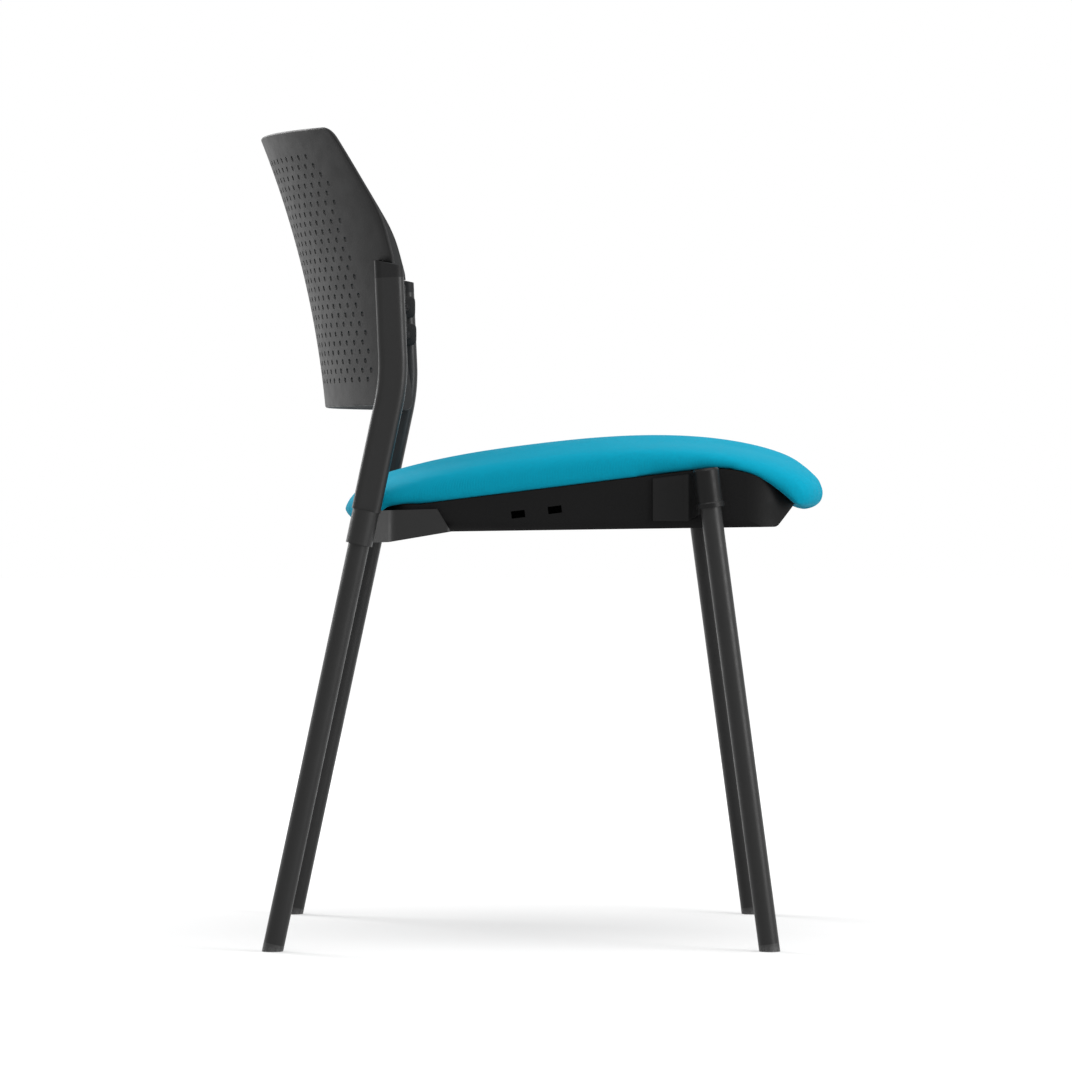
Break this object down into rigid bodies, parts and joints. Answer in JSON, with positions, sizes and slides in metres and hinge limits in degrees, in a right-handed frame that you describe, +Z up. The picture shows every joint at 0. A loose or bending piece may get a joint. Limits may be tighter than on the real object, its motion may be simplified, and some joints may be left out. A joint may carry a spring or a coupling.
{
  "type": "stacking chair",
  "caption": "Stacking chair: upholstered seat in a moulded pan, curved perforated back between bent uprights, splayed round tube legs on floor glides.",
  "frame": {"origin": "on the floor, under the middle of the chair's box", "axes": "+Z up; the chair faces -Y; the sitter's left is +X"},
  "size_m": [0.5174, 0.5437, 0.783],
  "materials": {
    "leg_coat": "charcoal powder coat, semi-matt",
    "upright_coat": "charcoal powder coat, semi-matt",
    "bracket_coat": "charcoal powder coat on a casting",
    "glide_plastic": "plain, near black",
    "cap_plastic": "fine moulded grain",
    "pan_plastic": "fine moulded grain",
    "back_plastic": "fine moulded grain",
    "seat_fabric": "woven, teal blue",
    "seat_filling": "open-cell foam",
    "seat_plywood": "plain plywood",
    "screw_steel": "black zinc plated"
  },
  "bodies": {
    "root": {"rear_leg_left": "leg_coat", "rear_leg_right": "leg_coat", "front_leg_left": "leg_coat", "front_leg_right": "leg_coat", "rear_bracket_left": "bracket_coat", "rear_bracket_right": "bracket_coat", "front_bracket_left": "bracket_coat", "front_bracket_right": "bracket_coat", "back_upright_left": "upright_coat", "back_upright_right": "upright_coat", "seat_pan": "pan_plastic", "seat_cover": "seat_fabric", "seat_foam": "seat_filling", "seat_board": "seat_plywood", "back_panel": "back_plastic", "seat_screws": "screw_steel", "seat_inserts": "screw_steel", "bracket_bolts": "screw_steel", "leg_screws": "screw_steel", "back_screws": "screw_steel", "floor_glides": "glide_plastic", "upright_caps": "cap_plastic"}
  },
  "joints": []
}
